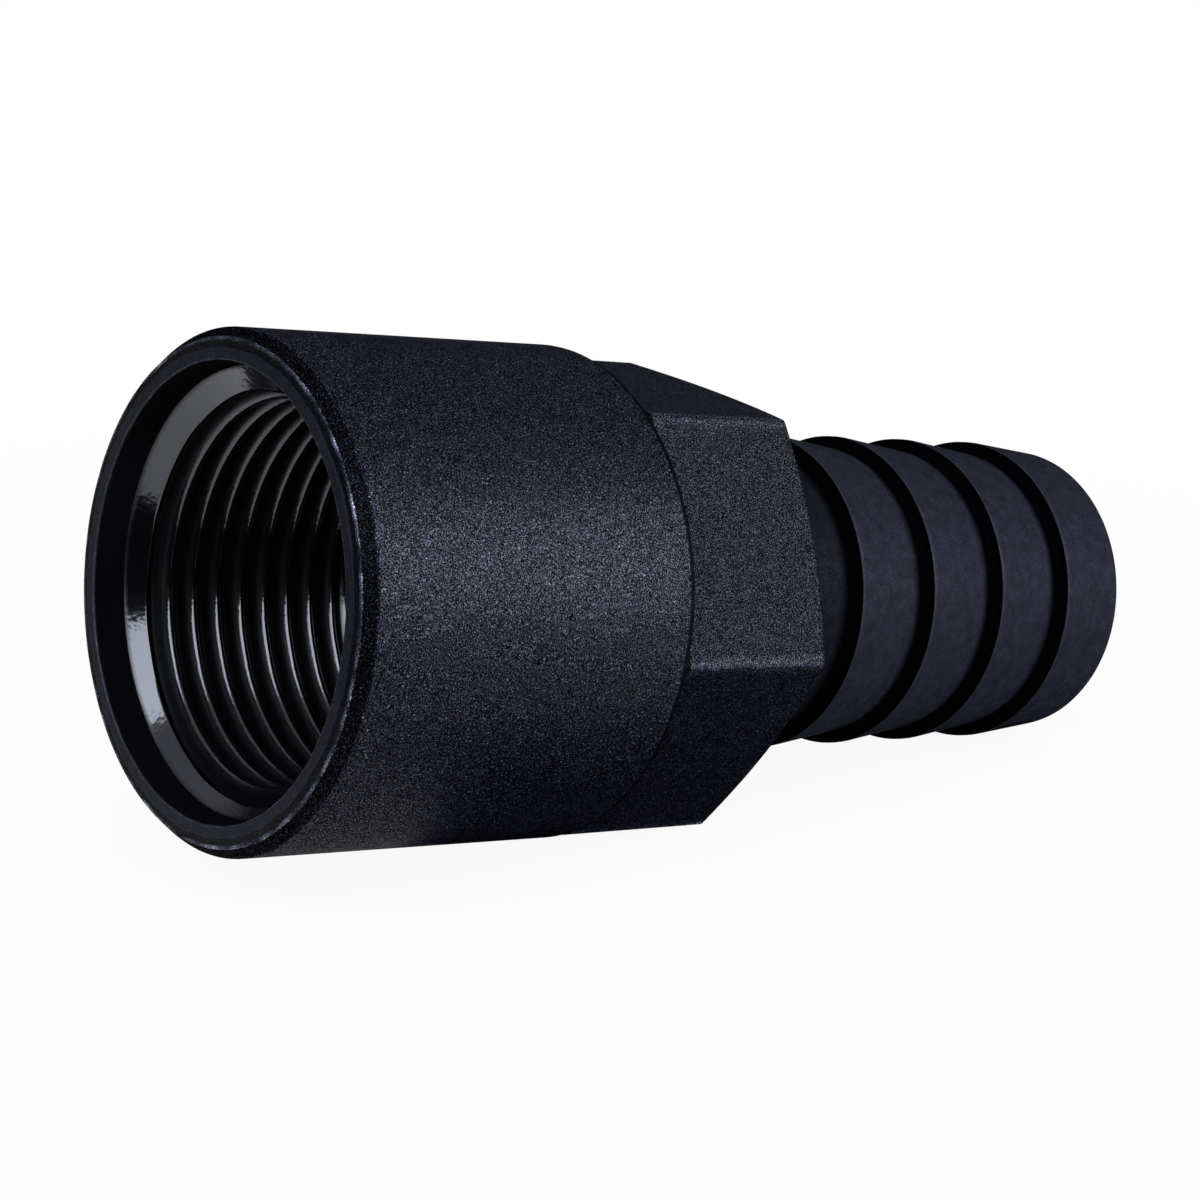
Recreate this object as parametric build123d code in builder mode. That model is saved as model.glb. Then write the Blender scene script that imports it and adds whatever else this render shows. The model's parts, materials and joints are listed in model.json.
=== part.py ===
from build123d import *

import os
from math import acos, asin, atan2, cos, hypot, pi, radians, sin, tan

# Female threaded hose barb, one plastic moulding: a threaded socket, a hexagon for a spanner
# and a tail with four barbs for a hose, all on one straight bore.
# It lies on its side as it comes to rest, on the rim of the socket's shoulder, the end of the
# tail and one corner of the hexagon. +Z is up, the floor is Z = 0, and the bore runs from the
# mouth towards +X, dipping a little. Sizes are in millimetres and angles in degrees.

# Bore
thread_crest_diameter = 30.291  # the bore is plain here, across the crests of a G 1 thread
thread_depth = 25.0  # mouth to the flat seat behind the thread
counterbore_depth = 2.6
counterbore_draft = 5.5
lead_in_angle = 49.0  # cone from the counterbore down to the thread, measured from the bore's axis
waterway_diameter = 20.0

# Threaded socket
socket_wall = 5.35  # thread crests to the outside, behind the mouth's chamfer
socket_length = 31.6  # mouth to shoulder
socket_draft = 0.25  # the socket widens this much towards its shoulder
socket_edge_radius = 0.7  # rounding of the shoulder's rim
mouth_chamfer_length = 1.05  # along the bore
mouth_chamfer_width = 0.85  # across the bore
mouth_ledge = 0.75  # between the chamfer and the lip
lip_width = 1.0  # smooth ring raised round the counterbore
lip_height = 0.15

# Hexagon
hex_across_flats = 36.0
hex_length = 15.8  # shoulder to its back face
hex_corner_radius = 1.2
hex_chamfer_angle = 21.5  # turned chamfer on the back corners, measured from the back face

# Neck and tail
neck_length = 9.35  # back of the hexagon to the first barb's step
barb_count = 4
barb_pitch = 8.95
barb_diameter = 28.2  # over the sharp edges
barb_height = 1.1  # sharp edge above the neck and above the thin end of each taper
barb_land = 0.4  # narrow straight band behind each sharp edge
root_flare = 0.7  # short cone at the foot of each step, as high as it is long
tip_length = 8.2  # last barb's step to the end
tip_drop = 0.8  # sharp edge above the tip
tip_chamfer = 0.6

# Places along the bore from the mouth, and radii
thread_radius = thread_crest_diameter / 2
socket_radius = thread_radius + socket_wall
shoulder_radius = socket_radius + (socket_length - mouth_chamfer_length) * tan(radians(socket_draft))
lip_radius = socket_radius - mouth_chamfer_width - mouth_ledge
counterbore_radius = lip_radius - lip_width
counterbore_foot_radius = counterbore_radius - (counterbore_depth + lip_height) * tan(
    radians(counterbore_draft)
)
lead_in_end = counterbore_depth + (counterbore_foot_radius - thread_radius) / tan(radians(lead_in_angle))
waterway_radius = waterway_diameter / 2
flat_radius = hex_across_flats / 2
corner_radius = flat_radius / cos(pi / 6)
hex_start = socket_length - socket_edge_radius
hex_end = socket_length + hex_length
hex_chamfer_length = (corner_radius - flat_radius) * tan(radians(hex_chamfer_angle))
first_barb = hex_end + neck_length
last_barb = first_barb + (barb_count - 1) * barb_pitch
total_length = last_barb + tip_length
crest_radius = barb_diameter / 2
root_radius = crest_radius - barb_height
tip_radius = crest_radius - tip_drop
core_radius = (root_radius + flat_radius) / 2
flare = min(root_flare, 0.9 * barb_height, 0.9 * (core_radius - root_radius))

# Outline of the turned form from mouth to tip: place along the bore, distance out
mouth_rim = (0, socket_radius - mouth_chamfer_width)
shoulder_rim = (socket_length, shoulder_radius)
outline = [
    (-lip_height, 0),
    (-lip_height, lip_radius),
    (0, lip_radius),
    mouth_rim,
    (mouth_chamfer_length, socket_radius),
    shoulder_rim,
    (socket_length, core_radius),
    (hex_end, core_radius),
    (hex_end, root_radius + flare),
    (hex_end + flare, root_radius),
]
for barb in range(barb_count):
    step = first_barb + barb * barb_pitch
    outline += [
        (step - flare, root_radius),
        (step, root_radius + flare),
        (step, crest_radius),
        (step + barb_land, crest_radius),
    ]
tail_corners = [
    outline[-1],
    (total_length - tip_chamfer, tip_radius),
    (total_length, tip_radius - tip_chamfer),
]
outline += tail_corners[1:] + [(total_length, 0)]

# Outline of the bore, from mouth to tip
bore_outline = [
    (-lip_height, 0),
    (-lip_height, counterbore_radius),
    (counterbore_depth, counterbore_foot_radius),
    (lead_in_end, thread_radius),
    (thread_depth, thread_radius),
    (thread_depth, waterway_radius),
    (total_length, waterway_radius),
    (total_length, 0),
]

# How it rests: the tail comes down until one of its corners touches, with the rim on the floor
rim_place = socket_length - socket_edge_radius
rim_radius = shoulder_radius - socket_edge_radius * (
    tan(radians(socket_draft)) + 1 / cos(radians(socket_draft))
)


def dip_onto(place, out):
    """Dip of the bore that brings the rim's rounding and a corner of the tail to the floor together"""
    along = place - rim_place
    drop = rim_radius - out
    return atan2(drop, along) + asin(socket_edge_radius / hypot(along, drop))


rest_dip = min(dip_onto(*corner) for corner in tail_corners)
mouth_height = rim_place * sin(rest_dip) + rim_radius * cos(rest_dip) + socket_edge_radius

# It rolls until a corner of the hexagon touches, where the corner's chamfer starts. Beside a
# much wider socket no corner touches, and one points straight down.
corner_centre_radius = corner_radius - hex_corner_radius / cos(pi / 6)
corner_reach = corner_centre_radius + hex_corner_radius
corner_end = hex_end - (corner_reach - flat_radius) * tan(radians(hex_chamfer_angle))
floor_at_corner = (mouth_height - corner_end * sin(rest_dip)) / cos(rest_dip)
roll = acos(min((floor_at_corner - hex_corner_radius) / corner_centre_radius, 1))

# Directions, and the middle of the mouth, with the part's origin on the floor below its middle
bore_direction = Vector(cos(rest_dip), 0, -sin(rest_dip))
up_from_bore = Vector(sin(rest_dip), 0, cos(rest_dip))
corner_direction = up_from_bore * -cos(roll) + Vector(0, -sin(roll), 0)
mouth_reach = max(out * sin(rest_dip) - place * cos(rest_dip) for place, out in outline[1:4])
tip_reach = max(place * cos(rest_dip) + out * sin(rest_dip) for place, out in tail_corners)
mouth_centre = Vector((mouth_reach - tip_reach) / 2, 0, mouth_height)
bore_axis = Axis(mouth_centre, bore_direction)

# Outlines are drawn with X along the bore and Y straight out from it
profile_plane = Plane(mouth_centre, x_dir=bore_direction, z_dir=(0, -1, 0))
hex_plane = Plane(mouth_centre + bore_direction * hex_start, x_dir=corner_direction, z_dir=bore_direction)

with BuildPart() as hose_barb:
    # Hexagon, with its back corners turned off to a cone
    with BuildSketch(hex_plane) as hexagon:
        RegularPolygon(radius=flat_radius, side_count=6, major_radius=False)
        fillet(hexagon.vertices(), radius=hex_corner_radius)
    extrude(amount=hex_end - hex_start)
    with BuildSketch(profile_plane) as turned_blank:
        with BuildLine():
            Polyline(
                (hex_start, 0),
                (hex_start, corner_radius),
                (hex_end - hex_chamfer_length, corner_radius),
                (hex_end, flat_radius),
                (hex_end, 0),
                close=True,
            )
        make_face()
    revolve(axis=bore_axis, mode=Mode.INTERSECT)

    # Socket, neck and barbs
    with BuildSketch(profile_plane) as turned_form:
        with BuildLine():
            FilletPolyline(
                outline,
                radius=[socket_edge_radius if corner == shoulder_rim else 0 for corner in outline],
                close=True,
            )
        make_face()
    revolve(axis=bore_axis)

    # Counterbore, lead-in cone, plain thread bore, seat and waterway
    with BuildSketch(profile_plane) as bore:
        with BuildLine():
            Polyline(bore_outline, close=True)
        make_face()
    revolve(axis=bore_axis, mode=Mode.SUBTRACT)

hose_barb.part.label = "hose_barb"
os.makedirs("parts", exist_ok=True)
export_step(hose_barb.part, "parts/hose_barb.step")
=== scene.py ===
import json

import bpy
import numpy as np
from mathutils import Euler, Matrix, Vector


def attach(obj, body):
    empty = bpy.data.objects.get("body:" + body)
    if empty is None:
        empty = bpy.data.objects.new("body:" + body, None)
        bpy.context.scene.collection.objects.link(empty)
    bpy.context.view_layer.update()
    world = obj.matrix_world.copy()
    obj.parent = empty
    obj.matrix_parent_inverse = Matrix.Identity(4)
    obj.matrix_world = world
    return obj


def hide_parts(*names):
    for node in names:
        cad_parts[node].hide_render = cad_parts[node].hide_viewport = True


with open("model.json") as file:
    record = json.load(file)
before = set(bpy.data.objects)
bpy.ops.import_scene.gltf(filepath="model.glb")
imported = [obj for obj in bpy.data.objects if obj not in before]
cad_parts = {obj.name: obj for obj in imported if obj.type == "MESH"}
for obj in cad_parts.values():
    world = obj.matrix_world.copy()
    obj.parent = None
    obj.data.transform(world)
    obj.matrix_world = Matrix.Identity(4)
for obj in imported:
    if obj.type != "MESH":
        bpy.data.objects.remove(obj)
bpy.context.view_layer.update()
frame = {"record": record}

# A black plastic pipe fitting: a threaded socket, a hexagon and a barbed tail, one moulding.
# Its sizes are in millimetres and degrees, as on a drawing, and the studio's are in metres.
mm = 0.001


# Where the bore lies, from the frame

mounts = {mount["name"]: mount for mount in frame["record"]["mounts"]}
tailPlace = 83.8  # the hose_tail mount lies this far from the mouth, on the last barb's edge
cornerTurn = 25.22  # lowest corner of the hexagon, from straight down towards the camera's side
sixth = np.pi / 3  # from one corner of the hexagon to the next

bore = np.array(mounts["hose_tail"]["axis"])
mouth = np.array(mounts["hose_tail"]["pos_m"]) - bore * tailPlace * mm
across = np.array([0.0, 1.0, 0.0])
upright = np.cross(bore, across)
corner = -np.cos(np.radians(cornerTurn)) * upright - np.sin(np.radians(cornerTurn)) * across
beside = np.cross(bore, corner)
print("bore from", mouth / mm, "along", bore)


# Shape of the moulding: places along the bore from the mouth, radii, lengths and angles

fitting = {
    "threadRadius": 15.1455,  # across the crests
    "threadPitch": 2.309,
    "threadDepth": 1.4785,
    "threadRounding": 0.3171,
    "threadFlank": 27.5,
    "threadTurn": 226.0,  # where the thread starts, round the bore
    "threadEnd": 23.4,  # it has run out here
    "threadRunOut": 2.0,
    "threadMargins": (0.15, 0.35),  # its rows stop this short of the counterbore and of the seat
    "crestPolish": 0.12,  # the thread shines from its crests down to this share of its depth,
    "polishFade": 0.3,  # less over this share,
    "rootPolish": 0.08,  # and this much in its roots
    "seat": 25.0,
    "waterway": 10.0,
    "counterbore": (17.8955, 2.6),  # radius at the lip, depth
    "counterboreFoot": 17.6307,
    "leadIn": 49.0,
    "lip": (18.8955, 0.15),  # outside radius, height
    "lipHighlightWidth": 0.12,  # painted highlight: the lip's inner edge is painted bright over this width
    "ragged": 0.035,  # how far the lip's outer edge wanders
    "raggedInside": 0.4,  # the inner edge wanders by this share of it
    "raggedReach": (0.12, 0.3),  # how far from the edge, and from the mouth, that is felt
    "mouthRim": 19.6455,
    "mouthHighlightWidth": 0.14,  # the painted highlight along the mouth's rim takes this much of the ledge
    "mouthHighlightShare": 0.1,  # and this share of the chamfer
    "mouthHighlightBreaks": 0.7,  # how unevenly the painted highlight is bright
    "socketFront": (1.05, 20.4955),  # place and radius behind the chamfer
    "socketEnd": (31.6, 20.6821),
    "socketRounding": 0.7,
    "hexFlat": 18.0,
    "hexEnd": 47.4,
    "hexCornerRounding": 0.5,
    "hexChamfer": 21.5,
    "chamferDrop": 0.05,  # the chamfer ends this far below the flats
    "cornerHighlight": (1.4, 0.02),  # painted highlight: how much brighter the corners are painted than the flats, and over what turn in radians
    # Painted light: how bright each flat is painted for the light that falls on it, round from the lowest
    # corner,
    # the far side first: the fourth is on top, the fifth faces the camera and the sixth is below it
    "flatPaintedLight": (1.0, 1.0, 1.0, 1.45, 0.76, 1.35),
    "root": 13.0,
    "crest": 14.1,
    "land": 0.4,
    "shadeFade": 1.3,  # painted shade: the tail is painted darker towards each step over this length
    "hollow": 0.6,  # rounding at the foot of a step
    "steps": [56.75, 65.7, 74.65, 83.6],
    "tip": (91.8, 13.3),
    "tipRounding": 0.6,
    "edge": 0.06,  # rounding of a sharp moulded edge
    "softEdge": 0.1,
    "footRounding": 0.12,
    "landRounding": 0.2,
    "tipBoreRounding": 0.3,
    "seatRounding": 0.25,
    "arcRows": (4, 7, 0.3),  # rows round a rounding, and round one of more than this radius
    "sectorSteps": (16, 6),  # round each corner of the hexagon: along a flat, round the corner
    "pitchSteps": 20,
    "flatRows": 7,
    "chamferRows": (0, 0.12, 0.5, 0.88, 1),  # shares of the hexagon's chamfer
    "seam": 0.002,  # between the rows that meet where the hexagon stands on the shoulder
    "gap": 3.0,  # longest straight cell
    "hold": 0.14,  # a station this far from each edge keeps its shine narrow
}

# How each stretch is finished: strength of the eroded grain, share of polish, how much it reflects. The
# reflectance
# also carries painted light and shade: painted highlights on the mouth's rim, the lip's edge and the
# lands, painted shade on the shoulder's rounding, the neck, the steps and the counterbore's wall
finishes = {
    "eroded": (1.0, 0.0, 0.8),
    "flat": (0.9, 0.0, 0.69),
    "coarse": (1.4, 0.0, 0.2),
    "ledge": (0.4, 0.1, 0.8),
    "lip": (0.2, 0.15, 1.1),
    "satin": (0.12, 0.0, 1.42),
    "neck": (0.12, 0.0, 0.74),
    "step": (0.12, 0.0, 0.1),
    "rim": (0.3, 0.02, 0.25),
    "polished": (0.0, 1.0, 1.0),
    "wall": (0.0, 0.5, 0.1),
    "burr": (0.4, 0.0, 5.0),
    "lipEdge": (0.3, 0.1, 3.5),
    "land": (0.12, 0.04, 1.9),
}


def eased(share):
    # 0 to 1, level at both ends
    return share * share * (3 - 2 * share)


def arcAt(before, point, after, rounding):
    # The arc of that radius which touches both lines that meet at the point, as a turn from
    # one touching point to the other about the arc's centre
    if rounding == 0:
        return point[None, :]
    toBefore = (before - point) / np.linalg.norm(before - point)
    toAfter = (after - point) / np.linalg.norm(after - point)
    half = np.arccos(np.clip(toBefore @ toAfter, -1, 1)) / 2
    middle = toBefore + toAfter
    centre = point + middle / np.linalg.norm(middle) * rounding / np.sin(half)
    first = point + toBefore * rounding / np.tan(half) - centre
    last = point + toAfter * rounding / np.tan(half) - centre
    sweep = np.pi - 2 * half
    few, many, wide = fitting["arcRows"]
    steps = np.linspace(0, 1, many if rounding > wide else few)[:, None]
    return centre + (np.sin((1 - steps) * sweep) * first + np.sin(steps * sweep) * last) / np.sin(sweep)


def finished(stations, name):
    # Stations with their grain, polish and reflectance beside them
    return np.hstack([stations, np.tile(finishes[name], (len(stations), 1))])


def stationsAlong(corners):
    # Rows of place, out, grain, polish and reflectance. Each corner is given as place, out,
    # rounding and the finish of its arc and of the straight run after it, which has a station
    # near each end and every gap. The first and the last corner only give a direction
    points = np.array([c[:2] for c in corners], float)
    hold = fitting["hold"]
    arcs = [
        arcAt(points[k - 1], points[k], points[k + 1], corners[k][2]) for k in range(1, len(corners) - 1)
    ]
    rows = []
    for k, arc in enumerate(arcs):
        finish = corners[k + 1][3]
        rows.append(finished(arc, finish))
        run = arcs[k + 1][0] - arc[-1] if k + 1 < len(arcs) else np.zeros(2)
        length = np.linalg.norm(run)
        if length > 3 * hold:
            inner = np.linspace(hold, length - hold, 2 + int(length / fitting["gap"]))
            rows.append(finished(arc[-1] + inner[:, None] / length * run, finish))
    return np.vstack(rows)


def hexagonCorner():
    # How far out a rounded corner has its centre, and the turn from the corner to its flat
    flat, rounding = fitting["hexFlat"], fitting["hexCornerRounding"]
    centre = flat / np.cos(sixth / 2) - rounding / np.cos(sixth / 2)
    return centre, np.arctan2(rounding / 2, centre + rounding * np.cos(sixth / 2))


def anglesRound():
    # Angles round the bore from a corner of the hexagon, close together where its corners turn
    touch = hexagonCorner()[1]
    flatSteps, cornerSteps = fitting["sectorSteps"]
    sector = np.concatenate([
        np.linspace(-touch, touch, cornerSteps, endpoint=False),
        np.linspace(touch, sixth - touch, 2 * flatSteps, endpoint=False),
    ])
    return np.concatenate([sector + k * np.pi / 3 for k in range(6)])


def fromCorner(angles):
    # Turn from the nearest corner of the hexagon
    return np.abs((angles + sixth / 2) % sixth - sixth / 2)


def hexagonOut(angles):
    # Distance from the bore to the hexagon: flat over the cosine of the angle from the flat's
    # middle, and near a corner the far side of the corner's circle
    flat, rounding = fitting["hexFlat"], fitting["hexCornerRounding"]
    centre, touch = hexagonCorner()
    turn = fromCorner(angles)
    circle = centre * np.cos(turn) + np.sqrt(np.maximum(rounding**2 - (centre * np.sin(turn)) ** 2, 0))
    return np.where(turn < touch, circle, flat / np.cos(sixth / 2 - turn))


def leadInOut(place):
    # Distance from the bore to the lead-in cone: it narrows evenly from the counterbore's foot
    behind = place - fitting["counterbore"][1]
    return fitting["counterboreFoot"] - behind * np.tan(np.radians(fitting["leadIn"]))


def threadOut(place, angles):
    # Distance from the bore to the thread: the place less the helix's advance gives the distance
    # from the nearest root, and the depth there is a root arc, a straight flank, then a crest arc
    pitch, depth, rounding = fitting["threadPitch"], fitting["threadDepth"], fitting["threadRounding"]
    advance = (angles + np.radians(fitting["threadTurn"])) / (2 * np.pi) * pitch
    fromRoot = np.abs((place - advance + pitch / 2) % pitch - pitch / 2)
    nearest = np.minimum(fromRoot, pitch / 2 - fromRoot)
    slope = 1 / np.tan(np.radians(fitting["threadFlank"]))
    arcReach = rounding * np.cos(np.radians(fitting["threadFlank"]))
    arc = rounding - np.sqrt(rounding**2 - np.minimum(nearest, arcReach) ** 2)
    drop = arc + slope * np.maximum(nearest - arcReach, 0)
    drop = np.where(fromRoot < pitch / 4, drop, depth - drop)
    left = np.clip((fitting["threadEnd"] - place) / fitting["threadRunOut"], 0, 1)
    return fitting["threadRadius"] + (depth - drop) * eased(left)


def raggedEdge(angles, seed):
    # A closed line that wanders a little: a sum of waves round the bore with chance sizes and starts
    chance = np.random.default_rng(seed)
    waves = np.arange(7, 60)
    sizes = chance.normal(size=len(waves)) / np.sqrt(len(waves) / 2)
    starts = chance.uniform(0, 2 * np.pi, len(waves))
    return (sizes[:, None] * np.cos(waves[:, None] * angles + starts[:, None])).sum(0)


def nearEdge(place, out, radius):
    # 1 on the edge of the mouth that has this radius, soon 0 away from it
    width, depth = fitting["raggedReach"]
    return np.exp(-(((out - radius) / width) ** 2)) * (place < depth)


def allRound(finish, angles):
    # A finish for each row, the same at every angle
    return np.repeat(finish[:, None, :], len(angles), axis=1)


def turned(rows, angles):
    # Rows of place, out and finish, carried round the bore
    return rows[:, 0, None] + 0 * angles, rows[:, 1, None] + 0 * angles, allRound(rows[:, 2:], angles)


def mouthRows(angles):
    # From the counterbore's foot over the lip, the ledge and the chamfer to the shoulder's rim
    f = fitting
    counterbore, counterboreDepth = f["counterbore"]
    lipRadius, lipHeight = f["lip"]
    frontPlace, frontRadius = f["socketFront"]
    endPlace, endRadius = f["socketEnd"]
    mouthHighlightPlace = f["mouthHighlightShare"] * frontPlace
    mouthHighlightRadius = f["mouthRim"] + f["mouthHighlightShare"] * (frontRadius - f["mouthRim"])
    place, out, finish = turned(stationsAlong([
        (counterboreDepth + 1, leadInOut(counterboreDepth + 1)),
        # The counterbore's wall is painted dark: painted shade
        (counterboreDepth, f["counterboreFoot"], f["footRounding"], "wall"),
        # Painted highlight on the lip's inner edge
        (-lipHeight, counterbore, f["softEdge"], "lipEdge"),
        (-lipHeight, counterbore + f["lipHighlightWidth"], 0, "lip"),
        (-lipHeight, lipRadius, f["edge"], "lip"),
        (0, lipRadius, f["edge"] / 2, "ledge"),
        # Painted highlight along the mouth's rim, over the ledge's edge and into the chamfer
        (0, f["mouthRim"] - f["mouthHighlightWidth"], 0, "burr"),
        (0, f["mouthRim"], f["edge"], "burr"),
        (mouthHighlightPlace, mouthHighlightRadius, 0, "coarse"),
        (frontPlace, frontRadius, f["softEdge"], "eroded"),
        # The shoulder's rounding is painted dark: painted shade at the foot of the hexagon
        (endPlace, endRadius, f["socketRounding"], "rim"),
        (endPlace, f["hexFlat"]),
    ]), angles)
    # The lip's edges wander
    out = out + f["ragged"] * nearEdge(place, out, lipRadius) * raggedEdge(angles, 4)
    inside = f["raggedInside"] * f["ragged"]
    out = out + inside * nearEdge(place, out, counterbore) * raggedEdge(angles, 9)
    # Painted highlight along the mouth's rim, brighter here and there
    mouthHighlightRows = np.isclose(finish[:, 0, 2], finishes["burr"][2])
    finish[mouthHighlightRows, :, 2] *= np.exp(f["mouthHighlightBreaks"] * raggedEdge(angles, 12))
    # The hexagon's corners stand out of the shoulder's rounding
    inRounding = place > endPlace - f["socketRounding"]
    return place, np.where(inRounding, np.maximum(out, hexagonOut(angles)), out), finish


def hexagonRows(angles):
    # Foot on the shoulder, flats, then the cone that turns off the back corners
    f = fitting
    start, endRadius = f["socketEnd"]
    end, hold = f["hexEnd"], f["hold"]
    hexOut = hexagonOut(angles)
    rimOut = np.maximum(endRadius - f["socketRounding"], hexOut)
    foot = f["hexFlat"] - f["chamferDrop"]
    edge = end - (hexOut - foot) * np.tan(np.radians(f["hexChamfer"]))
    along = np.linspace(0, 1, f["flatRows"])[:, None]
    back = np.array(f["chamferRows"])[:, None]
    place = np.vstack([
        start + f["seam"] + 0 * angles,
        start + 2 * f["seam"] + 0 * angles,
        start + hold + along * (edge - start - 2 * hold),
        edge + back * (end - edge),
        end + 0 * angles,
    ])
    out = np.vstack([
        np.minimum(hexOut + hold, rimOut),
        hexOut,
        hexOut + 0 * along,
        hexOut + back * (foot - hexOut),
        foot - hold + 0 * angles,
    ])
    # Painted light: each flat is painted as bright as the light falls on it, and the corners are painted
    # brighter than the flats as a painted highlight
    finish = allRound(np.tile(finishes["flat"], (len(place), 1)), angles)
    highlight, width = f["cornerHighlight"]
    flatLight = np.array(f["flatPaintedLight"])[(angles % (2 * np.pi) // sixth).astype(int) % 6]
    finish[..., 2] *= (1 + highlight * np.exp(-((fromCorner(angles) / width) ** 2))) * flatLight
    return place, out, finish


def tailRows(angles):
    # Back of the hexagon, neck, barbs and tip, then the waterway back to the thread's seat
    f = fitting
    tipPlace, tipRadius = f["tip"]
    corners = [
        (f["hexEnd"], f["hexFlat"]),
        # The neck is painted darker than the barbs: painted shade behind the hexagon
        (f["hexEnd"], f["root"], f["hollow"], "neck"),
    ]
    taper = (f["crest"] - f["root"]) / (f["steps"][1] - f["steps"][0] - f["land"] - f["hollow"])
    for k, step in enumerate(f["steps"]):
        # The neck before the first step is straight, and each barb tapers towards the next step
        slope, finish = (taper, "satin") if k else (0, "neck")
        foot = f["root"] - slope * f["hollow"]
        for share in (1, 0.5):
            reach = f["hollow"] + share * f["shadeFade"]
            corners.append((step - reach, foot + slope * reach, 0, finish))
        # Painted shade: the step and its hollow are painted dark
        corners.append((step, foot, f["hollow"], "step"))
        # The land is painted brighter than the barb: a painted highlight on its edge
        corners.append((step, f["crest"], f["edge"] / 2, "land"))
        corners.append((step + f["land"], f["crest"], f["landRounding"], "satin"))
    corners += [
        (tipPlace, tipRadius, f["tipRounding"], "satin"),
        (tipPlace, f["waterway"], f["tipBoreRounding"], "polished"),
        (f["seat"], f["waterway"], f["softEdge"], "polished"),
        (f["seat"], f["threadRadius"], f["seatRounding"], "polished"),
        (f["counterbore"][1], f["threadRadius"]),
    ]
    tail = stationsAlong(corners)
    # Painted shade, darker towards each step: 0 where the fade begins, 1 from the hollow on
    ahead = np.array(f["steps"])[:, None] - tail[:, 0]
    toStep = np.where(ahead < 0, np.inf, ahead).min(0)
    near = eased(np.clip((f["hollow"] + f["shadeFade"] - toStep) / f["shadeFade"], 0, 1))
    tail[:, 4] *= 1 - near * (1 - finishes["step"][2] / tail[:, 4])
    return turned(tail, angles)


def threadRows(angles):
    # From the seat back to the counterbore: the thread, cut open by the lead-in cone
    f = fitting
    frontMargin, seatMargin = f["threadMargins"]
    step = f["threadPitch"] / f["pitchSteps"]
    places = np.arange(f["seat"] - seatMargin, f["counterbore"][1] + frontMargin, -step)
    place = places[:, None] + 0 * angles
    cone = leadInOut(place)
    out = np.maximum(threadOut(place, angles), cone)
    finish = allRound(np.tile(finishes["polished"], (len(place), 1)), angles)
    depth = np.where(cone < out, (out - f["threadRadius"]) / f["threadDepth"], 0)
    towardRoot = np.clip((depth - f["crestPolish"]) / f["polishFade"], 0, 1)
    finish[..., 1] = 1 - (1 - f["rootPolish"]) * towardRoot
    # Where it is not polished, the thread takes the wall's dark paint: painted shade in its roots
    finish[..., 2] = finishes["wall"][2]
    return place, out, finish


def mouldingRows(angles):
    # Every row of the closed surface, over the mouth, the outside and the tip and back through
    # the bore: place, out and finish, for each angle
    bands = [rows(angles) for rows in (mouthRows, hexagonRows, tailRows, threadRows)]
    return tuple(np.concatenate(part) for part in zip(*bands))


def closedSurface(name, place, out, angles, finish):
    # A point is the mouth plus place along the bore plus out along the turned radius; rows and
    # angles both close on themselves, so the wall has no rim
    rows, turns = place.shape
    radius = np.cos(angles)[:, None] * corner + np.sin(angles)[:, None] * beside
    points = mouth + mm * (place[..., None] * bore + out[..., None] * radius)
    index = np.arange(rows * turns).reshape(rows, turns)
    below = np.roll(index, -1, axis=0)
    quads = np.stack([index, np.roll(index, -1, axis=1), np.roll(below, -1, axis=1), below], axis=-1)
    mesh = bpy.data.meshes.new(name)
    mesh.from_pydata(points.reshape(-1, 3).tolist(), [], quads.reshape(-1, 4).tolist())
    mesh.shade_smooth()
    for column, attributeName in enumerate(("grain", "polish", "reflectanceWithPaintedLight")):
        attribute = mesh.attributes.new(attributeName, "FLOAT", "POINT")
        attribute.data.foreach_set("value", finish[..., column].ravel().astype(np.float32))
    mesh.validate()
    piece = bpy.data.objects.new(name, mesh)
    bpy.context.scene.collection.objects.link(piece)
    return piece


# Materials

class Wire:
    # A socket that takes part in sums: each operator adds one Math node
    def __init__(self, tree, socket=None):
        self.tree = tree
        self.socket = socket

    def make(self, kind, settings=None, sockets=None, output=0):
        # Any node: its settings first, then the values or links of its sockets
        node = self.tree.nodes.new(kind)
        for name, value in (settings or {}).items():
            setattr(node, name, value)
        for name, value in (sockets or {}).items():
            if isinstance(value, Wire):
                self.tree.links.new(value.socket, node.inputs[name])
            else:
                node.inputs[name].default_value = value
        return Wire(self.tree, node.outputs[output] if node.outputs else None)

    def sum(self, operation, *values, clamp=False):
        settings = {"operation": operation, "use_clamp": clamp}
        return self.make("ShaderNodeMath", settings, dict(enumerate(values)))

    def upTo(self, limit):
        return self.sum("MINIMUM", self, limit)

    def exponential(self):
        return self.sum("EXPONENT", self)

    def between(self, low, high):
        # 0 below low, 1 above high, smooth between
        sockets = {"Value": self, "From Min": low, "From Max": high}
        return self.make("ShaderNodeMapRange", {"interpolation_type": "SMOOTHSTEP"}, sockets)

    def blend(self, first, second):
        # Colour from first to second as this goes from 0 to 1
        return self.make("ShaderNodeMix", {"data_type": "RGBA"}, {0: self, 6: first, 7: second}, output=2)

    def __add__(self, other):
        return self.sum("ADD", self, other)

    def __sub__(self, other):
        return self.sum("SUBTRACT", self, other)

    def __rsub__(self, other):
        return self.sum("SUBTRACT", other, self)

    def __mul__(self, other):
        return self.sum("MULTIPLY", self, other)

    __radd__ = __add__
    __rmul__ = __mul__


def newMaterial(name):
    material = bpy.data.materials.new(name)
    material.use_nodes = True
    material.node_tree.nodes.clear()
    return material, Wire(material.node_tree)


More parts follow.
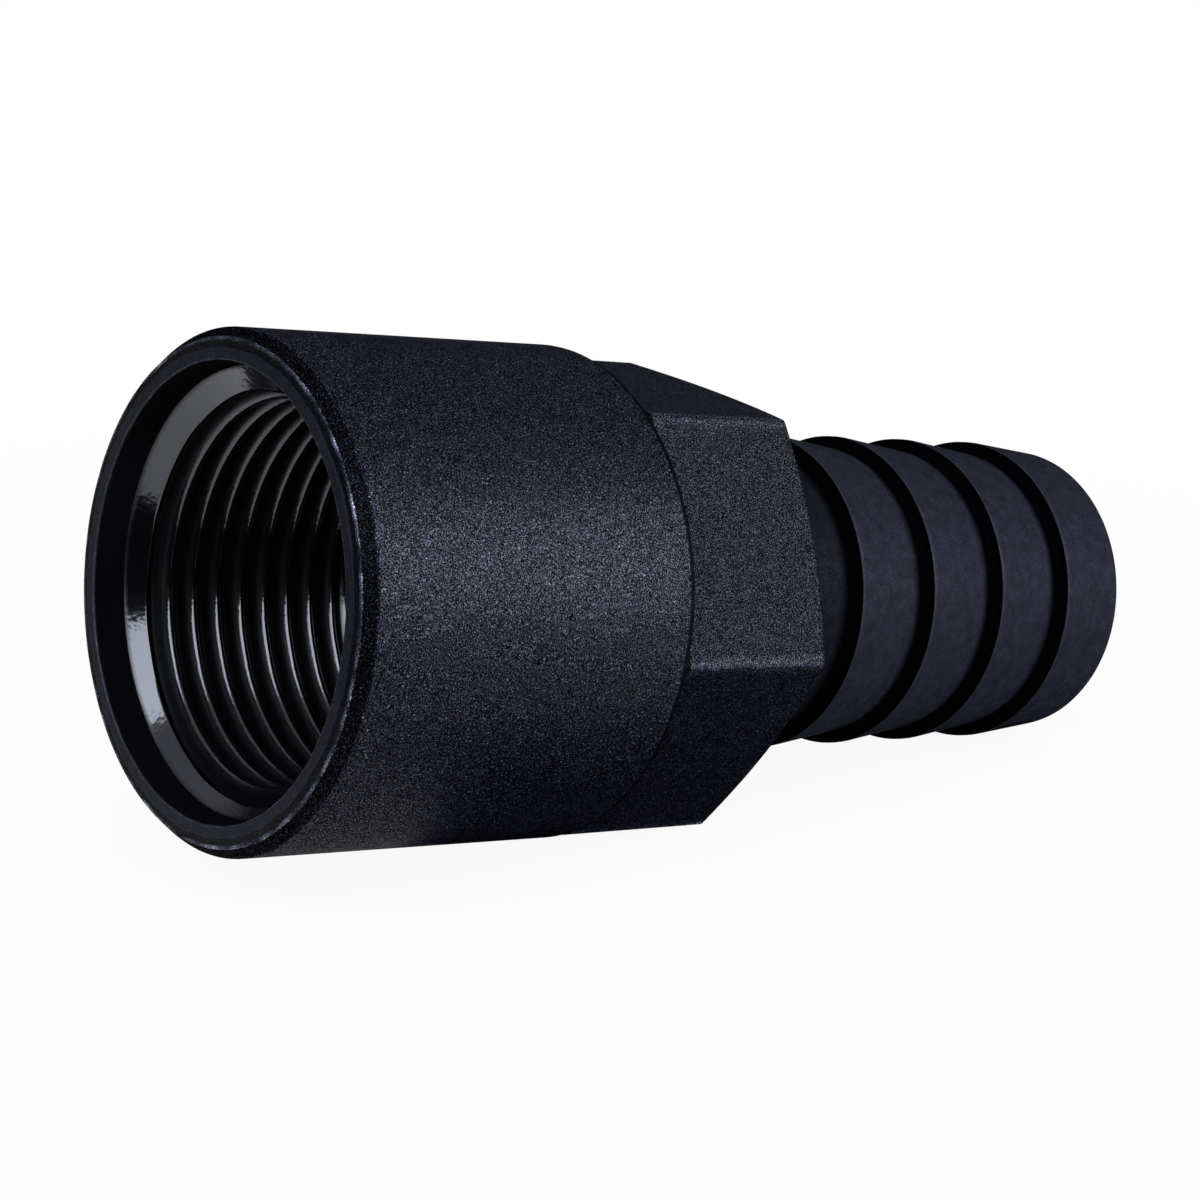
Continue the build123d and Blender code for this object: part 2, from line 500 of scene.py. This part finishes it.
plastic = {
    "colour": (0.0100, 0.0108, 0.0165),
    "grainSize": 0.12,
    "grainDepth": 0.03,
    "grainBump": 0.8,
    "grainContrast": 9.0,
    "grainLimit": 1.2,  # the contrast stops growing at this strength of the grain
    "swellSize": 1.08,  # soft lumps among the grain
    "swellShare": 0.1,
    "mottle": 1.2,  # soft clouds where there is no grain
    "driftSize": 10.8,  # the roughness drifts over this length
    "dullRoughness": (0.6, 0.3, 0.1),  # itself, its change from grain to grain, its drift
    # The eroded grain shades itself at low angles, and a metal with a black rim tint does so too
    "dullMetal": 0.93,
    "metalRise": 2.5,  # how soon the metallic share comes with the grain
    "rimTint": (0, 0, 0, 1),
    "fleckSize": 0.1,
    "glint": 0.03,
    "glintContrast": 18.0,
    "glintRoughness": 0.4,
    "polishedColour": (0.0015, 0.0016, 0.0024, 1),
    "polishedTint": (0.86, 0.89, 1.0, 1),
    "polishedRoughness": (0.1, 0.4, 0.06),  # itself, more with less polish, its drift
    "scuffSize": 0.6,
    "scuffDepth": 0.03,
    "scuffBump": 0.5,
}


def noise(place, size, detail):
    # Noise with lumps of about this size
    sockets = {"Vector": place, "Scale": 1 / (size * mm), "Detail": detail, "Roughness": 0.6}
    return place.make("ShaderNodeTexNoise", {}, sockets, output="Fac")


def bump(height, strength, depth):
    sockets = {"Strength": strength, "Distance": depth * mm, "Height": height}
    return height.make("ShaderNodeBump", {}, sockets, output="Normal")


def erodedPlastic(w, place, drift, grain, reflectanceWithPaintedLight):
    # Spark-eroded grain with tiny glints. Reflectance varies from grain to grain as the
    # exponential of a noise, so a few grains glint
    p = plastic
    pits = noise(place, p["grainSize"], 0)
    swell = noise(place, p["swellSize"], 2)
    contrast = p["grainContrast"] * grain.upTo(p["grainLimit"])
    spread = (pits - 0.5 + (swell - 0.5) * p["swellShare"]) * contrast
    mottle = (swell - 0.5) * (1 - grain.upTo(1.0)) * p["mottle"]
    tone = reflectanceWithPaintedLight * (spread + mottle).exponential()
    colour = w.make("ShaderNodeVectorMath", {"operation": "SCALE"}, {0: p["colour"], "Scale": tone})
    # Some grains are shinier still, as the exponential of a finer noise
    flecks = noise(place, p["fleckSize"], 0)
    glint = (p["glint"] * ((flecks - 0.5) * p["glintContrast"]).exponential()).upTo(1.0)
    roughness, grainChange, driftChange = p["dullRoughness"]
    return w.make("ShaderNodeBsdfPrincipled", {}, {
        "Base Color": colour,
        "Roughness": roughness + (pits - 0.5) * grainChange + (drift - 0.5) * driftChange,
        "Metallic": p["dullMetal"] * (grain * p["metalRise"]).upTo(1.0),
        "Coat Weight": glint * grain.upTo(1.0) * reflectanceWithPaintedLight,
        "Coat Roughness": p["glintRoughness"],
        "Specular Tint": p["rimTint"],
        "Specular IOR Level": 0.0,
        "Normal": bump(pits * grain, p["grainBump"], p["grainDepth"]),
    })


def polishedPlastic(w, place, drift, polish):
    # Smooth and glossy, with fine scuffs
    p = plastic
    roughness, polishChange, driftChange = p["polishedRoughness"]
    return w.make("ShaderNodeBsdfPrincipled", {}, {
        "Base Color": p["polishedColour"],
        "Roughness": roughness + (1 - polish) * polishChange + (drift - 0.5) * driftChange,
        "Specular IOR Level": 1.0,
        "Specular Tint": p["polishedTint"],
        "Normal": bump(noise(place, p["scuffSize"], 1), p["scuffBump"], p["scuffDepth"]),
    })


def blackPlastic():
    # Filled black plastic: eroded grain outside, smooth inside, as the moulding's attributes say
    material, w = newMaterial("blackPlastic")
    place = w.make("ShaderNodeTexCoord", output="Object")
    grain, polish, reflectanceWithPaintedLight = (
        w.make("ShaderNodeAttribute", {"attribute_name": name}, output="Fac")
        for name in ("grain", "polish", "reflectanceWithPaintedLight")
    )
    drift = noise(place, plastic["driftSize"], 2)
    dull = erodedPlastic(w, place, drift, grain, reflectanceWithPaintedLight)
    glossy = polishedPlastic(w, place, drift, polish)
    surface = w.make("ShaderNodeMixShader", {}, {0: polish, 1: dull, 2: glossy})
    w.make("ShaderNodeOutputMaterial", {}, {"Surface": surface})
    return material


# Studio

studio = {
    "cameraPlace": (-155.88, -179.47, 77.69),  # in millimetres
    "cameraTurn": (75.809, -2.331, -39.201),
    "lens": 84.14,
    "sensor": 36.0,
    "clip": (0.01, 50),
    "floorReach": 9.0,
    "floorColour": (0.65, 0.65, 0.66, 1),
    "floorGlow": 0.93,  # share of the floor's look that is its own white
    "floorFade": (0.06, 0.2),  # it begins to fade and is plain white at these distances
    "ambient": 0.6,
    "lampColour": (0.91, 0.95, 1.0),
    "lampAim": (0, 0, 0.02),
}


def lookRay(w):
    # 1 for what the eye meets directly or in a reflection, 0 for light that falls on the object
    path = w.make("ShaderNodeLightPath")
    outputs = path.socket.node.outputs
    camera, glossy, clear = (
        Wire(w.tree, outputs[name]) for name in ("Is Camera Ray", "Is Glossy Ray", "Is Transmission Ray")
    )
    return w.sum("ADD", camera + glossy, clear, clamp=True)


def paleFloor():
    # White floor: it shows the object's shadow, and far off it fades to plain white
    material, w = newMaterial("paleFloor")
    place = w.make("ShaderNodeTexCoord", output="Object")
    distance = w.make("ShaderNodeVectorMath", {"operation": "LENGTH"}, {0: place}, output="Value")
    far = distance.between(*studio["floorFade"])
    share = studio["floorGlow"] + far * (1 - studio["floorGlow"])
    matte = w.make("ShaderNodeBsdfDiffuse", {}, {"Color": studio["floorColour"]})
    glow = w.make("ShaderNodeEmission", {}, {"Color": (1, 1, 1, 1), "Strength": 1.0})
    surface = w.make("ShaderNodeMixShader", {}, {0: share * lookRay(w), 1: matte, 2: glow})
    w.make("ShaderNodeOutputMaterial", {}, {"Surface": surface})
    reach = studio["floorReach"]
    points = [(-reach, -reach, 0), (reach, -reach, 0), (reach, reach, 0), (-reach, reach, 0)]
    mesh = bpy.data.meshes.new("floor")
    mesh.from_pydata(points, [], [(0, 1, 2, 3)])
    mesh.materials.append(material)
    floor = bpy.data.objects.new("floor", mesh)
    bpy.context.scene.collection.objects.link(floor)


def paleWorld():
    world = bpy.data.worlds.new("studio")
    bpy.context.scene.world = world
    world.use_nodes = True
    world.node_tree.nodes.clear()
    w = Wire(world.node_tree)
    strength = studio["ambient"] + lookRay(w) * (1 - studio["ambient"])
    background = w.make("ShaderNodeBackground", {}, {"Color": (1, 1, 1, 1), "Strength": strength})
    w.make("ShaderNodeOutputWorld", {}, {"Surface": background})


softboxes = {
    # Turn round the object from +X towards +Y, rise above the floor, distance, size, brightness
    "sideSoftbox": {"turn": -48, "rise": 15, "distance": 0.65, "size": (0.42, 0.42), "brightness": 8.5},
    "mouthSoftbox": {"turn": 205, "rise": 34, "distance": 0.7, "size": (0.66, 0.38), "brightness": 5.0},
}

# Black cloth that only reflections see: a tent round everything, grey overhead, a card that stands
# before the mouth, and one that lies on the floor beside the fitting, a painted shadow of the fitting on
# the floor
tent = {
    "reach": 1.2,
    "rises": (2.0, 89.0),
    "steps": (48, 16),
    "black": (0.001, 0.001, 0.001, 1),
    "grey": (0.75, 0.75, 0.78, 1),
    "greyFrom": (0.3, 0.9),  # heights between which the cloth turns grey
    "mouthCard": [
        (-0.058, -0.05, 0.044), (-0.075, -0.048, 0.0445), (-0.094, -0.038, 0.045), (-0.109, -0.023, 0.042),
        (-0.111, 0.0, 0.046), (-0.108, 0.009, 0.055), (-0.1025, 0.023, 0.057), (-0.0956, 0.042, 0.058),
        (-0.085, 0.069, 0.06),
    ],
    # Painted shadow of the fitting on the floor, seen only in reflections
    "floorShadeCard": [(-0.03, -0.004), (0.09, -0.004), (0.09, -0.034), (-0.03, -0.034)],
    "floorShadeCardHeight": 0.0004,
}


def tentCloth():
    material, w = newMaterial("tentCloth")
    place = w.make("ShaderNodeTexCoord", output="Object")
    height = w.make("ShaderNodeSeparateXYZ", {}, {0: place}, output="Z")
    colour = height.between(*tent["greyFrom"]).blend(tent["black"], tent["grey"])
    matte = w.make("ShaderNodeBsdfDiffuse", {}, {"Color": colour})
    w.make("ShaderNodeOutputMaterial", {}, {"Surface": matte})
    return material


def towards(turn, rise):
    # Direction of a turn from +X towards +Y and a rise above the floor
    return np.stack([np.cos(turn) * np.cos(rise), np.sin(turn) * np.cos(rise), np.sin(rise)], axis=-1)


def domeSurface():
    # Points of a dome: the reach times the direction of each turn and rise
    turns, rises = tent["steps"]
    low, high = np.radians(tent["rises"])
    turnSteps = np.linspace(0, 2 * np.pi, turns + 1)
    turn, rise = np.meshgrid(turnSteps, np.linspace(low, high, rises), indexing="ij")
    points = tent["reach"] * towards(turn, rise)
    index = np.arange(turn.size).reshape(turn.shape)
    quads = np.stack([index[:-1, :-1], index[:-1, 1:], index[1:, 1:], index[1:, :-1]], axis=-1)
    return points.reshape(-1, 3).tolist(), quads.reshape(-1, 4).tolist()


def cardSurface():
    # A standing sheet: each foot point on the floor and the point straight above it
    tops = np.array(tent["mouthCard"])
    points = np.concatenate([tops * (1, 1, 0), tops])
    count = len(tops)
    quads = [(k, k + 1, count + k + 1, count + k) for k in range(count - 1)]
    return points.tolist(), quads


def placeTent():
    material = tentCloth()
    lying = [(x, y, tent["floorShadeCardHeight"]) for x, y in tent["floorShadeCard"]]
    shapes = {"tent": domeSurface(), "mouthCard": cardSurface(), "floorShadeCard": (lying, [(0, 1, 2, 3)])}
    for name, (points, quads) in shapes.items():
        mesh = bpy.data.meshes.new(name)
        mesh.from_pydata(points, [], quads)
        mesh.materials.append(material)
        cloth = bpy.data.objects.new(name, mesh)
        cloth.visible_camera = cloth.visible_diffuse = cloth.visible_shadow = False
        bpy.context.scene.collection.objects.link(cloth)


def placeSoftboxes():
    for name, box in softboxes.items():
        light = bpy.data.lights.new(name, "AREA")
        light.shape = "RECTANGLE"
        light.size, light.size_y = box["size"]
        light.color = studio["lampColour"]
        light.energy = box["brightness"] * np.pi * light.size * light.size_y
        toward = Vector(towards(np.radians(box["turn"]), np.radians(box["rise"])))
        lamp = bpy.data.objects.new(name, light)
        lamp.location = toward * box["distance"] + Vector(studio["lampAim"])
        lamp.rotation_euler = toward.to_track_quat("Z", "Y").to_euler()
        bpy.context.scene.collection.objects.link(lamp)


def placeCamera():
    data = bpy.data.cameras.new("camera")
    data.lens = studio["lens"]
    data.sensor_width = studio["sensor"]
    data.clip_start, data.clip_end = studio["clip"]
    camera = bpy.data.objects.new("camera", data)
    camera.location = Vector(studio["cameraPlace"]) * mm
    camera.rotation_euler = Euler([np.radians(a) for a in studio["cameraTurn"]])
    bpy.context.scene.collection.objects.link(camera)
    bpy.context.scene.camera = camera


placeCamera()
paleFloor()
paleWorld()
placeSoftboxes()
placeTent()
bpy.context.scene.view_settings.view_transform = "Standard"
print("studio ready")

angles = anglesRound()
place, out, finish = mouldingRows(angles)
moulding = closedSurface("hoseBarb", place, out, angles, finish)
moulding.data.materials.append(blackPlastic())
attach(moulding, "root")
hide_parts("hose_barb")
print("moulding ready,", 2 * len(moulding.data.polygons), "triangles")
